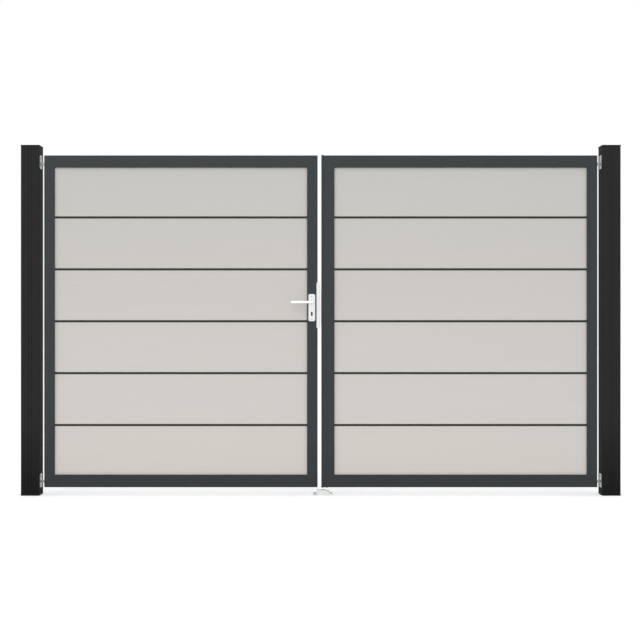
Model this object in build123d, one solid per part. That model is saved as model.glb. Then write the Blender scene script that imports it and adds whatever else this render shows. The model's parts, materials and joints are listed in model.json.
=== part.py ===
from build123d import *
import os

# Double gate: two boarded leaves in mitred aluminium frames, hung between two slotted posts.
# Millimetres. The origin is the centre of the left post's foot, on the ground.
# +X runs along the gate to the right post, +Y points away from the viewer, +Z is up.
# The right half mirrors the left one, apart from the furniture at the meeting stiles.

os.makedirs("parts", exist_ok=True)

# Overall layout
LEAVES_SPAN = 3000.0      # both closed leaves, outer edge to outer edge
LEAF_HEIGHT = 1800.0
GROUND_GAP = 46.0         # ground to the leaves' lower edge
HINGE_GAP = 26.5          # post to leaf edge
MEETING_GAP = 20.0        # clear gap between the closed leaves
STOP_WIDTH = 14.0         # stop bar on the right leaf's meeting edge

# Posts: a square extrusion with a cross web and three slots closed by cover strips
POST_SIDE = 100.0
POST_WALL = 3.0
POST_WEB = 2.5
POST_CORNER = 2.0
POST_RISE = 52.0          # post tube above the leaves' upper edge
SLOT_WIDTH = 17.4
SLOT_DEPTH = 12.0
COVER_GROOVE = 1.2        # shadow groove on each side of a cover strip
COVER_THICKNESS = 2.5
COVER_LEG = 1.6
COVER_LEG_DEPTH = 8.0
CAP_THICKNESS = 5.0
CAP_OVERHANG = 1.5
CAP_CHAMFER = 1.0
CAP_LUG = 18.0
CAP_LUG_DEPTH = 22.0
CAP_LUG_CLEARANCE = 0.4

# Leaf frame: hollow grooved profiles, mitred at the corners
LEAF_DEPTH = 40.0
STILE_FACE = 57.0
TOP_RAIL_FACE = 66.0
BOTTOM_RAIL_FACE = 68.0
FRAME_WALL = 2.5
FRAME_CORNER = 1.5
GROOVE_DEPTH = 12.0
STRIP_PLAY = 0.5          # joint strip to groove side

# Infill: boards stacked on joint strips of H section
BOARD_COUNT = 6
BOARD_THICKNESS = 20.0
BOARD_END_PLAY = 2.0
BOARD_HEAD_PLAY = 1.0
STRIP_WEB = 2.0
STRIP_FLANGE = 1.5
STRIP_FACE = 11.5

# Lift-off hinges: a plate on the post's inner side and one on the leaf's back, knuckles behind the leaf's edge,
# pin standing up out of the post's knuckle into the leaf's
HINGE_HEIGHT = 73.0
HINGE_OVERHANG = 3.0      # post plate beyond the leaf's lower or upper edge
HINGE_PLATE = 3.0
POST_PLATE_DEPTH = 46.0
POST_PLATE_SETBACK = 12.0  # post plate behind the post's front face
LEAF_PLATE_WIDTH = 36.0
HINGE_EDGE = 2.0          # pin outside the leaf's edge
HINGE_STANDOFF = 15.0     # leaf back to the pin
KNUCKLE_RADIUS = 6.5
POST_KNUCKLE = 16.0       # post's knuckle, down from the hinge's middle
LEAF_KNUCKLE = 30.0       # leaf's knuckle, up from the hinge's middle
KNUCKLE_GAP = 0.4
HINGE_ARM = 7.0
PIN_RADIUS = 4.0
PIN_CLEARANCE = 0.08
PLATE_CORNER = 3.0

# Lock furniture on the left leaf's meeting stile
SPINDLE_HEIGHT = 1050.0   # above the ground
BACKSET = 31.5            # leaf edge to spindle
HANDLE_PLATE_WIDTH = 37.0
HANDLE_PLATE_HEIGHT = 148.0
HANDLE_PLATE_ABOVE = 44.0  # spindle to the plate's upper end
HANDLE_PLATE_THICKNESS = 8.0
HANDLE_PLATE_CORNER = 9.0
HANDLE_PLATE_EDGE = 1.5
KEYHOLE_DROP = 63.5       # spindle down to the keyhole's centre
KEYHOLE_WIDTH = 9.0
KEYHOLE_HEIGHT = 23.0
KEYHOLE_RECESS = 2.0
KEYHOLE_PLAY = 0.3
LEVER_RADIUS = 8.0
LEVER_ARM = 113.0
LEVER_REACH = 48.0        # leaf face to the middle of the lever's arm
LEVER_TIP_CHAMFER = 1.5
LEVER_INSET = 1.0         # lever neck's end to the stile's face
LEVER_CLEARANCE = 0.08
SPINDLE_SIDE = 8.0
SPINDLE_HOLE = 7.0
GUARD_HEIGHT = 255.0
GUARD_TOP_ABOVE = 115.0   # spindle to the guard's upper end
GUARD_THICKNESS = 3.0
GUARD_LAP = 6.0           # guard over the stile's face
GUARD_REACH = 13.8        # guard past the leaf's edge
GUARD_RETURN = 30.0
GUARD_SLANT = 16.0        # sloping cut at the lap's upper end
LATCH_REACH = 8.0
LATCH_NOSE = 1.5
LATCH_DEPTH = 12.0
LATCH_HEIGHT = 22.0

# Stop bar on the right leaf
STOP_WALL = 2.0
STOP_SETBACK = 2.0

# Drop bolt behind the right leaf's meeting stile, and the keeper on the ground
BOLT_RADIUS = 7.0
BOLT_INSET = 16.0         # leaf frame edge to the bolt
BOLT_STANDOFF = 12.5      # leaf back to the bolt
BOLT_TIP_HEIGHT = 38.0    # raised bolt above the ground
BOLT_LENGTH = 600.0
BOLT_GRIP = 60.0
BOLT_BEND = 20.0
BOLT_TIP_CHAMFER = 2.0
BOLT_CLEARANCE = 0.3
GUIDE_HEIGHTS = (75.0, 420.0)  # guide centres above the leaf's lower edge
GUIDE_BLOCK = 22.0
GUIDE_WALL = 4.5
GUIDE_PLATE_WIDTH = 26.0
GUIDE_PLATE_HEIGHT = 56.0
GUIDE_PLATE_THICKNESS = 3.0
KEEPER_WIDTH = 107.0
KEEPER_DEPTH = 80.0
KEEPER_BASE = 6.0
KEEPER_CORNER = 8.0
KEEPER_RIGHT = 31.0       # bolt to the keeper's right edge
KEEPER_BACK = 30.0        # bolt to the keeper's back edge
KEEPER_BLOCK_WIDTH = 49.0
KEEPER_BLOCK_INSET = 20.0
KEEPER_BLOCK_DEPTH = 30.0
KEEPER_BLOCK_SETBACK = 4.0
KEEPER_BLOCK_TOP = 31.0
SOCKET_BORE = 9.0
SOCKET_RADIUS = 13.5
SOCKET_TOP = 22.0
KEEPER_HOLE_RADIUS = 5.5
KEEPER_HOLE_INSET = 11.0  # hole to the keeper's ends
KEEPER_HOLE_BACK = 8.0    # hole behind the bolt

# Places worked out from the sizes above
POST_PITCH = POST_SIDE + 2 * HINGE_GAP + LEAVES_SPAN
CENTRE_X = POST_PITCH / 2
LEAF_WIDTH = (LEAVES_SPAN - MEETING_GAP - STOP_WIDTH) / 2
LEAF_LEFT = POST_SIDE / 2 + HINGE_GAP
LEAF_RIGHT = LEAF_LEFT + LEAF_WIDTH
LEAF_BOTTOM = GROUND_GAP
LEAF_TOP = GROUND_GAP + LEAF_HEIGHT
FRONT_Y = -POST_SIDE / 2
BACK_Y = FRONT_Y + LEAF_DEPTH
MIDDLE_Y = (FRONT_Y + BACK_Y) / 2
POST_HEIGHT = LEAF_TOP + POST_RISE
POST_CORE = POST_SIDE - 2 * POST_WALL
HINGE_X = LEAF_LEFT - HINGE_EDGE
HINGE_Y = BACK_Y + HINGE_STANDOFF
LEAF_PLATE_HEIGHT = HINGE_HEIGHT - 2 * HINGE_OVERHANG
HINGE_LEVELS = (
    LEAF_BOTTOM - HINGE_OVERHANG + HINGE_HEIGHT / 2,
    LEAF_TOP + HINGE_OVERHANG - HINGE_HEIGHT / 2,
)
SPINDLE_X = LEAF_RIGHT - BACKSET
RIGHT_FRAME_LEFT = POST_PITCH - LEAF_RIGHT
BOLT_X = RIGHT_FRAME_LEFT + BOLT_INSET
BOLT_Y = BACK_Y + BOLT_STANDOFF


def block(x_range, y_range, z_range):
    """A box between two limits on each axis."""
    sizes = [high - low for low, high in (x_range, y_range, z_range)]
    middle = [(high + low) / 2 for low, high in (x_range, y_range, z_range)]
    return Pos(*middle) * Box(*sizes)


def to_right(shape):
    """The mirror image of a left-hand piece on the gate's right half."""
    return mirror(shape, about=Plane.YZ.offset(CENTRE_X))


def to_back(shape):
    """The mirror image of a front piece on the leaves' back face."""
    return mirror(shape, about=Plane.XZ.offset(-MIDDLE_Y))


def on_slots(sketch):
    """A sketch drawn at the front slot, repeated at the back and outer slots of the left post."""
    return [Rot(0, 0, turn) * sketch for turn in (0, 180, -90)]


def post():
    """Slotted square post with a cross web."""
    section = RectangleRounded(POST_SIDE, POST_SIDE, POST_CORNER) - Rectangle(POST_CORE, POST_CORE)
    section += Rectangle(POST_CORE, POST_WEB) + Rectangle(POST_WEB, POST_CORE)
    channel_depth = SLOT_DEPTH + POST_WEB
    channel = Pos(0, (channel_depth - POST_SIDE) / 2) * Rectangle(SLOT_WIDTH + 2 * POST_WEB, channel_depth)
    slot = Pos(0, -POST_SIDE / 2 + SLOT_DEPTH / 2) * Rectangle(SLOT_WIDTH, SLOT_DEPTH)
    section += on_slots(channel)
    section -= on_slots(slot)
    return extrude(section, POST_HEIGHT)


def post_covers():
    """Clip-in strips that close the post's slots, each a flat head on two legs."""
    face_y = -POST_SIDE / 2
    head_width = SLOT_WIDTH - 2 * COVER_GROOVE
    head = Pos(0, face_y + COVER_THICKNESS / 2) * Rectangle(head_width, COVER_THICKNESS)
    leg_y = face_y + COVER_THICKNESS + COVER_LEG_DEPTH / 2
    crossbar = Pos(0, face_y + COVER_THICKNESS + COVER_LEG / 2) * Rectangle(SLOT_WIDTH, COVER_LEG)
    strip = head + crossbar
    for side in (-1, 1):
        leg_x = side * (SLOT_WIDTH - COVER_LEG) / 2
        strip += Pos(leg_x, leg_y) * Rectangle(COVER_LEG, COVER_LEG_DEPTH)
    return Compound([extrude(profile, POST_HEIGHT) for profile in on_slots(strip)])


def post_cap():
    """Flat cap with a chamfered upper edge and four lugs inside the post's chambers."""
    side = POST_SIDE + 2 * CAP_OVERHANG
    plate = Pos(0, 0, POST_HEIGHT) * extrude(RectangleRounded(side, side, POST_CORNER), CAP_THICKNESS)
    plate = chamfer(plate.faces().sort_by(Axis.Z)[-1].edges(), CAP_CHAMFER)
    lug_offset = POST_CORE / 2 - CAP_LUG_CLEARANCE - CAP_LUG / 2
    lug = Box(CAP_LUG, CAP_LUG, CAP_LUG_DEPTH)
    for lug_x in (-lug_offset, lug_offset):
        for lug_y in (-lug_offset, lug_offset):
            plate += Pos(lug_x, lug_y, POST_HEIGHT - CAP_LUG_DEPTH / 2) * lug
    return plate


def hinge_plate(x_range, y_range, height, across):
    """A hinge's flat plate, centred on the hinge's height, with cut corners; across is its thin way."""
    plate = block(x_range, y_range, (-height / 2, height / 2))
    return chamfer(plate.edges().filter_by(across), PLATE_CORNER)


def post_hinge():
    """Post half of a hinge: plate on the post's side, knuckle on its arm, and the pin."""
    plate_x = (POST_SIDE / 2, POST_SIDE / 2 + HINGE_PLATE)
    plate_front = FRONT_Y + POST_PLATE_SETBACK
    half = hinge_plate(plate_x, (plate_front, plate_front + POST_PLATE_DEPTH), HINGE_HEIGHT, Axis.X)
    arm_y = (HINGE_Y - HINGE_ARM / 2, HINGE_Y + HINGE_ARM / 2)
    half += block((POST_SIDE / 2, HINGE_X), arm_y, (-POST_KNUCKLE, 0))
    half += Pos(HINGE_X, HINGE_Y, -POST_KNUCKLE / 2) * Cylinder(KNUCKLE_RADIUS, POST_KNUCKLE)
    return half + Pos(HINGE_X, HINGE_Y, LEAF_KNUCKLE / 2) * Cylinder(PIN_RADIUS, LEAF_KNUCKLE)


def leaf_hinge():
    """Leaf half of a hinge: plate on the leaf's back, and a knuckle on its web, bored for the pin."""
    plate_y = (BACK_Y, BACK_Y + HINGE_PLATE)
    half = hinge_plate((LEAF_LEFT, LEAF_LEFT + LEAF_PLATE_WIDTH), plate_y, LEAF_PLATE_HEIGHT, Axis.Y)
    knuckle_z = (KNUCKLE_GAP, LEAF_KNUCKLE)
    half += block((LEAF_LEFT, HINGE_X + KNUCKLE_RADIUS), (BACK_Y, HINGE_Y), knuckle_z)
    half += Pos(HINGE_X, HINGE_Y, sum(knuckle_z) / 2) * Cylinder(KNUCKLE_RADIUS, LEAF_KNUCKLE - KNUCKLE_GAP)
    return half - Pos(HINGE_X, HINGE_Y, 0) * Cylinder(PIN_RADIUS + PIN_CLEARANCE, 2 * HINGE_HEIGHT)


def at_hinge_levels(half):
    """Lower and upper copies of one half of a hinge."""
    return Compound([Pos(0, 0, level) * half for level in HINGE_LEVELS])


def frame_member(length, face, start_cut, end_cut):
    """Hollow grooved profile along +Z, outer edge on X = 0, mitred at both ends.

    The mitres run from the outer corners to start_cut and end_cut along the inner edge.
    """
    groove_width = BOARD_THICKNESS + 2 * (STRIP_FLANGE + STRIP_PLAY)
    outline = Pos(face / 2, 0) * Rectangle(face, LEAF_DEPTH)
    outline -= Pos(face - GROOVE_DEPTH / 2, 0) * Rectangle(GROOVE_DEPTH, groove_width)
    hollow = offset(outline, amount=-FRAME_WALL, kind=Kind.INTERSECTION)
    edges = outline.vertices().filter_by(lambda corner: abs(corner.Y) > groove_width / 2 + FRAME_WALL)
    section = fillet(edges, FRAME_CORNER) - hollow
    corners = ((0, 0), (face, start_cut), (face, length - end_cut), (0, length))
    mitre = extrude(Plane.XZ * make_face(Polyline(*corners, close=True)), LEAF_DEPTH, both=True)
    return extrude(section, length) & mitre


def leaf_frame():
    """The four mitred members of the left leaf, by name."""
    upright = frame_member(LEAF_HEIGHT, STILE_FACE, BOTTOM_RAIL_FACE, TOP_RAIL_FACE)
    bottom = frame_member(LEAF_WIDTH, BOTTOM_RAIL_FACE, STILE_FACE, STILE_FACE)
    top = frame_member(LEAF_WIDTH, TOP_RAIL_FACE, STILE_FACE, STILE_FACE)
    hinge_corner = (LEAF_LEFT, MIDDLE_Y, LEAF_BOTTOM)
    meeting_corner = (LEAF_RIGHT, MIDDLE_Y, LEAF_BOTTOM)
    top_corner = (LEAF_LEFT, MIDDLE_Y, LEAF_TOP)
    return {
        "hinge_stile": Pos(*hinge_corner) * upright,
        "meeting_stile": Plane(meeting_corner, x_dir=(-1, 0, 0), z_dir=(0, 0, 1)) * upright,
        "bottom_rail": Plane(hinge_corner, x_dir=(0, 0, 1), z_dir=(1, 0, 0)) * bottom,
        "top_rail": Plane(top_corner, x_dir=(0, 0, -1), z_dir=(1, 0, 0)) * top,
    }


INFILL_X = (
    LEAF_LEFT + STILE_FACE - GROOVE_DEPTH + BOARD_END_PLAY,
    LEAF_RIGHT - STILE_FACE + GROOVE_DEPTH - BOARD_END_PLAY,
)
INFILL_BOTTOM = LEAF_BOTTOM + BOTTOM_RAIL_FACE - GROOVE_DEPTH
INFILL_TOP = LEAF_TOP - TOP_RAIL_FACE + GROOVE_DEPTH - BOARD_HEAD_PLAY
BOARD_HEIGHT = (INFILL_TOP - INFILL_BOTTOM - (BOARD_COUNT - 1) * STRIP_WEB) / BOARD_COUNT
BOARD_PITCH = BOARD_HEIGHT + STRIP_WEB


def board(index):
    """One plain board of the left leaf, counted from the bottom."""
    low = INFILL_BOTTOM + index * BOARD_PITCH
    board_y = (MIDDLE_Y - BOARD_THICKNESS / 2, MIDDLE_Y + BOARD_THICKNESS / 2)
    return block(INFILL_X, board_y, (low, low + BOARD_HEIGHT))


def joint_strips():
    """H-section strips between the left leaf's boards."""
    strip_depth = BOARD_THICKNESS + 2 * STRIP_FLANGE
    section = Rectangle(BOARD_THICKNESS, STRIP_WEB)
    for side in (-1, 1):
        flange_y = side * (strip_depth - STRIP_FLANGE) / 2
        section += Pos(flange_y, 0) * Rectangle(STRIP_FLANGE, STRIP_FACE)
    strip = extrude(Plane.YZ * section, INFILL_X[1] - INFILL_X[0])
    first = INFILL_BOTTOM + BOARD_HEIGHT + STRIP_WEB / 2
    levels = [first + index * BOARD_PITCH for index in range(BOARD_COUNT - 1)]
    return Compound([Pos(INFILL_X[0], MIDDLE_Y, level) * strip for level in levels])


def keyhole(width, height, depth):
    """An upright slot with round ends, from the leaf's front face outwards."""
    outline = Rot(0, 0, 90) * SlotOverall(height, width)
    return Pos(SPINDLE_X, FRONT_Y, SPINDLE_HEIGHT - KEYHOLE_DROP) * extrude(Plane.XZ * outline, depth)


def handle_plate():
    """Front handle plate with the lever's bearing and the keyhole."""
    outline = RectangleRounded(HANDLE_PLATE_WIDTH, HANDLE_PLATE_HEIGHT, HANDLE_PLATE_CORNER)
    middle_z = SPINDLE_HEIGHT + HANDLE_PLATE_ABOVE - HANDLE_PLATE_HEIGHT / 2
    plate = extrude(Plane.XZ * outline, HANDLE_PLATE_THICKNESS)
    plate = chamfer(plate.faces().sort_by(Axis.Y)[0].edges(), HANDLE_PLATE_EDGE)
    plate = Pos(SPINDLE_X, FRONT_Y, middle_z) * plate
    bearing = extrude(Plane.XZ * Circle(LEVER_RADIUS + LEVER_CLEARANCE), HANDLE_PLATE_THICKNESS)
    plate -= Pos(SPINDLE_X, FRONT_Y, SPINDLE_HEIGHT) * bearing
    return plate - keyhole(KEYHOLE_WIDTH, KEYHOLE_HEIGHT, HANDLE_PLATE_THICKNESS)


def lock_insert():
    """Dark insert that fills the front keyhole to a little below the plate's face."""
    width = KEYHOLE_WIDTH - 2 * KEYHOLE_PLAY
    height = KEYHOLE_HEIGHT - 2 * KEYHOLE_PLAY
    return keyhole(width, height, HANDLE_PLATE_THICKNESS - KEYHOLE_RECESS)


def lever():
    """Front lever: a round bar out of the plate's bearing, mitred to an arm towards the hinge side."""
    path = Polyline((0, -LEVER_INSET, 0), (0, -LEVER_REACH, 0), (-LEVER_ARM, -LEVER_REACH, 0))
    bar = sweep((path ^ 0) * Circle(LEVER_RADIUS), path=path, transition=Transition.RIGHT)
    bar = chamfer(bar.faces().sort_by(Axis.X)[0].edges(), LEVER_TIP_CHAMFER)
    return Pos(SPINDLE_X, FRONT_Y, SPINDLE_HEIGHT) * bar


def spindle():
    """Square bar that joins the two levers through the stile."""
    length = LEAF_DEPTH + 2 * LEVER_INSET
    return Pos(SPINDLE_X, MIDDLE_Y, SPINDLE_HEIGHT) * Box(SPINDLE_SIDE, length, SPINDLE_SIDE)


def drilled_for_spindle(stile):
    """The lock stile with its clearance holes for the spindle."""
    drill = Cylinder(SPINDLE_HOLE, 2 * LEAF_DEPTH, rotation=(90, 0, 0))
    return stile - Pos(SPINDLE_X, MIDDLE_Y, SPINDLE_HEIGHT) * drill


def latch_guard():
    """Angle along the lock edge: a flange over the meeting gap and a return on the stile's edge."""
    top = SPINDLE_HEIGHT + GUARD_TOP_ABOVE
    bottom = top - GUARD_HEIGHT
    lap = LEAF_RIGHT - GUARD_LAP
    outer = LEAF_RIGHT + GUARD_REACH
    corners = ((lap, bottom), (outer, bottom), (outer, top), (LEAF_RIGHT, top), (lap, top - GUARD_SLANT))
    flange = extrude(Plane.XZ * make_face(Polyline(*corners, close=True)), GUARD_THICKNESS)
    return_x = (LEAF_RIGHT, LEAF_RIGHT + GUARD_THICKNESS)
    return Pos(0, FRONT_Y, 0) * flange + block(return_x, (FRONT_Y, FRONT_Y + GUARD_RETURN), (bottom, top))


def latch_bolt():
    """Bevelled latch bolt standing out of the guard's return, at the spindle's height."""
    root = LEAF_RIGHT + GUARD_THICKNESS
    front = MIDDLE_Y - LATCH_DEPTH / 2
    back = MIDDLE_Y + LATCH_DEPTH / 2
    corners = ((root, front), (root + LATCH_NOSE, front), (root + LATCH_REACH, back), (root, back))
    profile = make_face(Polyline(*corners, close=True))
    return Pos(0, 0, SPINDLE_HEIGHT - LATCH_HEIGHT / 2) * extrude(profile, LATCH_HEIGHT)


def stop_bar():
    """Hollow bar on the right leaf's meeting edge."""
    depth = LEAF_DEPTH - 2 * STOP_SETBACK
    section = Rectangle(STOP_WIDTH, depth) - Rectangle(STOP_WIDTH - 2 * STOP_WALL, depth - 2 * STOP_WALL)
    return Pos(RIGHT_FRAME_LEFT - STOP_WIDTH / 2, MIDDLE_Y, LEAF_BOTTOM) * extrude(section, LEAF_HEIGHT)


def drop_bolt():
    """Round bolt with a bent grip at its upper end, raised."""
    path = FilletPolyline((0, 0, 0), (0, 0, BOLT_LENGTH), (0, BOLT_GRIP, BOLT_LENGTH), radius=BOLT_BEND)
    bolt = sweep((path ^ 0) * Circle(BOLT_RADIUS), path=path)
    tip_edges = bolt.faces().sort_by(Axis.Z)[0].edges()
    grip_edges = bolt.faces().sort_by(Axis.Y)[-1].edges()
    bolt = chamfer(tip_edges + grip_edges, BOLT_TIP_CHAMFER)
    return Pos(BOLT_X, BOLT_Y, BOLT_TIP_HEIGHT) * bolt


def bolt_guides():
    """Guides of the drop bolt: a bored block on a screw plate, at each guide height."""
    outer = BOLT_RADIUS + BOLT_CLEARANCE + GUIDE_WALL
    section = Circle(outer) + Pos(0, -BOLT_STANDOFF / 2) * Rectangle(2 * outer, BOLT_STANDOFF)
    section -= Circle(BOLT_RADIUS + BOLT_CLEARANCE)
    guide = Pos(0, 0, -GUIDE_BLOCK / 2) * extrude(section, GUIDE_BLOCK)
    plate_x = (-GUIDE_PLATE_WIDTH / 2, GUIDE_PLATE_WIDTH / 2)
    plate_y = (-BOLT_STANDOFF, -BOLT_STANDOFF + GUIDE_PLATE_THICKNESS)
    guide += block(plate_x, plate_y, (-GUIDE_PLATE_HEIGHT / 2, GUIDE_PLATE_HEIGHT / 2))
    places = [Pos(BOLT_X, BOLT_Y, LEAF_BOTTOM + height) for height in GUIDE_HEIGHTS]
    return Compound([place * guide for place in places])


def floor_keeper():
    """Keeper on the ground: base, front block with a ramp, and the bolt's socket."""
    right = BOLT_X + KEEPER_RIGHT
    left = right - KEEPER_WIDTH
    back = BOLT_Y + KEEPER_BACK
    front = back - KEEPER_DEPTH
    outline = RectangleRounded(KEEPER_WIDTH, KEEPER_DEPTH, KEEPER_CORNER)
    keeper = Pos((left + right) / 2, (front + back) / 2, 0) * extrude(outline, KEEPER_BASE)
    block_left = left + KEEPER_BLOCK_INSET
    block_right = block_left + KEEPER_BLOCK_WIDTH
    ramp_foot = right - KEEPER_BLOCK_SETBACK
    corners = (
        (block_left, 0),
        (block_left, KEEPER_BLOCK_TOP),
        (block_right, KEEPER_BLOCK_TOP),
        (ramp_foot, KEEPER_BASE),
        (ramp_foot, 0),
    )
    ramp = extrude(Plane.XZ * make_face(Polyline(*corners, close=True)), -KEEPER_BLOCK_DEPTH)
    keeper += Pos(0, front + KEEPER_BLOCK_SETBACK, 0) * ramp
    socket = Pos(BOLT_X, BOLT_Y, SOCKET_TOP / 2)
    keeper += socket * Cylinder(SOCKET_RADIUS, SOCKET_TOP)
    keeper -= socket * Cylinder(SOCKET_BORE, 2 * SOCKET_TOP)
    for hole_x in (left + KEEPER_HOLE_INSET, right - KEEPER_HOLE_INSET):
        keeper -= Pos(hole_x, BOLT_Y + KEEPER_HOLE_BACK, 0) * Cylinder(KEEPER_HOLE_RADIUS, 4 * KEEPER_BASE)
    return keeper


def gate_nodes():
    """Every piece of the gate, by the name of its node."""
    mirrored = {
        "post": post(),
        "post_cap": post_cap(),
        "post_covers": post_covers(),
        "post_hinges": at_hinge_levels(post_hinge()),
        "leaf_hinges": at_hinge_levels(leaf_hinge()),
        "joint_strips": joint_strips(),
    }
    mirrored.update(leaf_frame())
    for index in range(BOARD_COUNT):
        mirrored[f"board_{index + 1}"] = board(index)
    nodes = {f"left_{name}": shape for name, shape in mirrored.items()}
    nodes.update({f"right_{name}": to_right(shape) for name, shape in mirrored.items()})
    nodes["left_meeting_stile"] = drilled_for_spindle(nodes["left_meeting_stile"])
    nodes["front_handle_plate"] = handle_plate()
    nodes["back_handle_plate"] = to_back(nodes["front_handle_plate"])
    nodes["lock_inserts"] = Compound([lock_insert(), to_back(lock_insert())])
    nodes["back_lever"] = to_back(lever())
    nodes["front_lever"] = lever() + spindle()
    nodes["latch_guard"] = latch_guard()
    nodes["latch_bolt"] = latch_bolt()
    nodes["stop_bar"] = stop_bar()
    nodes["drop_bolt"] = drop_bolt()
    nodes["bolt_guides"] = bolt_guides()
    nodes["floor_keeper"] = floor_keeper()
    return nodes


for node_name, node_shape in gate_nodes().items():
    export_step(node_shape, f"parts/{node_name}.step")
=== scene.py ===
"""Finishes, fastenings and studio for the double gate.

Every length is in metres in the gate's own frame: the origin is the centre of the left post's foot,
+X runs along the gate, +Y points away from the viewer and +Z is up. Pattern sizes are in millimetres.
"""

import json
import logging
import math
from abc import ABC, abstractmethod
from dataclasses import dataclass, field
from enum import Enum
from typing import Any, Callable, Iterable, Sequence

import bmesh
import bpy
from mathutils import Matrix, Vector

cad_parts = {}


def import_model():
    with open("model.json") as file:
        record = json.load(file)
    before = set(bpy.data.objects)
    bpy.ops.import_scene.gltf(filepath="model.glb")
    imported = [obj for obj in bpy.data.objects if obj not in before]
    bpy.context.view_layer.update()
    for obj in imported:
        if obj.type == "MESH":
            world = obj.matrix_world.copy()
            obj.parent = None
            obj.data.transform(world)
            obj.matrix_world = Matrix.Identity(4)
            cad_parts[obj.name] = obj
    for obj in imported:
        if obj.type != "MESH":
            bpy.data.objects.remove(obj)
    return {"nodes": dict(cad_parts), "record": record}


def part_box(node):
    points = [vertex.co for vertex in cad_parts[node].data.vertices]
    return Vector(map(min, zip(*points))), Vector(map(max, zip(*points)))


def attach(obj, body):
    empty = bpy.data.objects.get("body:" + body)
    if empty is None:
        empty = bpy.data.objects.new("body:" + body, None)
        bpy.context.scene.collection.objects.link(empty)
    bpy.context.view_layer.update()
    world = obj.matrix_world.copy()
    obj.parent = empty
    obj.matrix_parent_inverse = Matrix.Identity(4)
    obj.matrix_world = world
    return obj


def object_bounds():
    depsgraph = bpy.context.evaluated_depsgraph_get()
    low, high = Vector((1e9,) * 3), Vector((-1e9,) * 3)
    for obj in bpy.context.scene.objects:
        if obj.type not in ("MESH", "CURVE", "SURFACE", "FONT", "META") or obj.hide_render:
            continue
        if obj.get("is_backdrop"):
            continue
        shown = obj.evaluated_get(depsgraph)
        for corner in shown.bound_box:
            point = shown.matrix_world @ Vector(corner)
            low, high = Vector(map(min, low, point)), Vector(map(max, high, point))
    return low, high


LOG = logging.getLogger("double_gate")
MM_PER_METRE = 1000.0
WHITE = (1.0, 1.0, 1.0, 1.0)
# The sRGB curve: a straight toe, then a power
TOE_END = 0.04045
TOE_SLOPE = 12.92
CURVE_OFFSET = 0.055
CURVE_POWER = 2.4
# Sides of a turned shape, and steps in a plate's round corner
ROUND_SIDES = 48
CORNER_STEPS = 8
# Corners of a mesh that lie closer than this are one corner
SAME_CORNER = 0.000001
# Faces that turn by more than this meet at a sharp edge
SHARP_ANGLE = math.radians(35.0)
# Socket numbers of a colour mix: its factor, its two colours and its result
MIX_FACTOR = 0
MIX_FIRST = 6
MIX_SECOND = 7
MIX_RESULT = 2

Point = tuple[float, float, float]
Colour = tuple[float, float, float, float]
Box = tuple[Vector, Vector]
Face = tuple[int, ...]
Outline = list[tuple[float, float]]
Lift = Callable[[float, float, float], Point]


class Side(Enum):
    """Half of the gate, with the X direction from its post towards the middle."""

    LEFT = ("left", 1.0)
    RIGHT = ("right", -1.0)

    @property
    def label(self) -> str:
        """Name used by the nodes and bodies of this half."""
        return self.value[0]

    @property
    def inward(self) -> float:
        """Sign of X from the post towards the middle of the gate."""
        return self.value[1]


class Grain(Enum):
    """Direction of a brushed grain, with the number of its axis."""

    ALONG_X = 0
    ALONG_Z = 2


class Drive(Enum):
    """How a fastener is turned."""

    SOCKET = "hexagon socket"
    HEXAGON = "hexagon head"


def linear(hex_colour: str) -> Colour:
    """Turns an sRGB hex colour to linear light.

    Args:
        hex_colour: six hexadecimal digits, with or without a leading hash.

    Returns:
        Red, green, blue and an alpha of one, in linear light.
    """
    channels = []
    for byte in bytes.fromhex(hex_colour.lstrip("#")):
        value = byte / 255.0
        toe = value / TOE_SLOPE
        curve = ((value + CURVE_OFFSET) / (1.0 + CURVE_OFFSET)) ** CURVE_POWER
        channels.append(toe if value <= TOE_END else curve)
    return (channels[0], channels[1], channels[2], 1.0)


def shade(colour: Colour, factor: float) -> Colour:
    """A linear colour made lighter or darker by a factor."""
    return (colour[0] * factor, colour[1] * factor, colour[2] * factor, 1.0)


def per_metre(size_mm: float) -> float:
    """Pattern scale, in features to the metre, of a feature's real size in millimetres."""
    return MM_PER_METRE / size_mm


def as_box(node: str) -> Box:
    """Lowest and highest corners of a CAD node at rest."""
    low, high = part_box(node)
    return Vector(low), Vector(high)


def add(
    tree: bpy.types.NodeTree, kind: str, inputs: dict[Any, Any] | None = None, **settings: Any,
) -> bpy.types.Node:
    """Adds a node to a tree, with its settings, values and links.

    Args:
        tree: the node tree.
        kind: the node's type name.
        inputs: sockets by name or number, each with a value or the output that feeds it.
        settings: the node's own options.

    Returns:
        The new node.
    """
    node = tree.nodes.new(kind)
    for option, value in settings.items():
        setattr(node, option, value)
    for socket, value in (inputs or {}).items():
        if isinstance(value, bpy.types.NodeSocket):
            tree.links.new(value, node.inputs[socket])
        else:
            node.inputs[socket].default_value = value
    return node


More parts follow.
